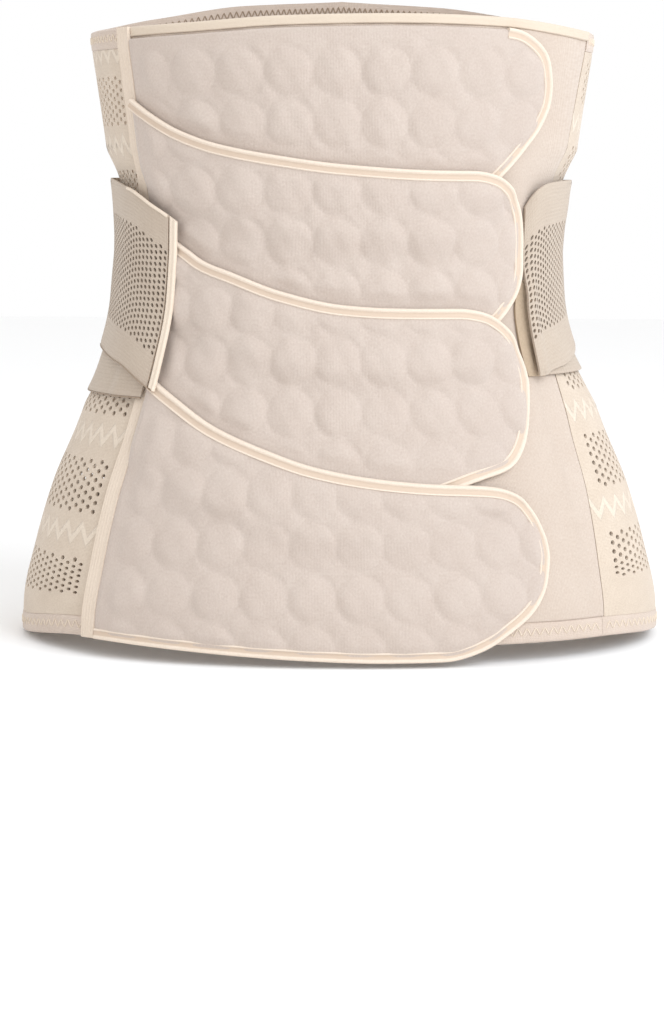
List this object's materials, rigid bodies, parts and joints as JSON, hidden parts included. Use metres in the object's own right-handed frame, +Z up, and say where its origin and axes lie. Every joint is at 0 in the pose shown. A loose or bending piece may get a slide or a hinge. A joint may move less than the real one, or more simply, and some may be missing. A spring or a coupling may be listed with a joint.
{
  "type": "abdominal binder",
  "caption": "Tall elastic abdominal binder in its worn shape, with lapped quilted front flaps, mesh side panels and wide tension straps.",
  "frame": {"origin": "middle of the trunk at the waist, where the binder is held up", "axes": "+Z up the trunk, the quilted front faces -Y, +X is on the right of someone looking at the front"},
  "size_m": [0.3248, 0.2321, 0.3238],
  "materials": {
    "jacquard": "knitted elastic with rows of open mesh and zigzag lines, matte",
    "loop_cloth": "brushed loop cloth, matte",
    "quilted": "quilted soft cloth over thin foam, matte",
    "binding": "folded satin binding with a soft sheen",
    "tape": "woven tape over a flexible stay, matte",
    "strap": "knitted elastic strap with a middle of fine mesh, matte",
    "hem": "turned elastic hem with zigzag stitching, matte"
  },
  "bodies": {
    "root": {"front_panel": "loop_cloth", "side_panel_left": "jacquard", "side_panel_right": "jacquard", "back_panel": "loop_cloth", "top_binding": "binding", "top_hem": "hem", "bottom_hem": "hem", "front_hem": "hem", "flap_top": "quilted", "flap_top_binding": "binding", "flap_upper": "quilted", "flap_upper_binding": "binding", "flap_lower": "quilted", "flap_lower_binding": "binding", "flap_bottom": "quilted", "flap_bottom_binding": "binding", "front_tape": "tape", "back_stay_left": "tape", "back_stay_right": "tape", "tension_strap_left": "strap", "tension_strap_right": "strap", "strap_band_left": "strap", "strap_band_right": "strap", "strap_binding_left": "binding"}
  },
  "joints": []
}
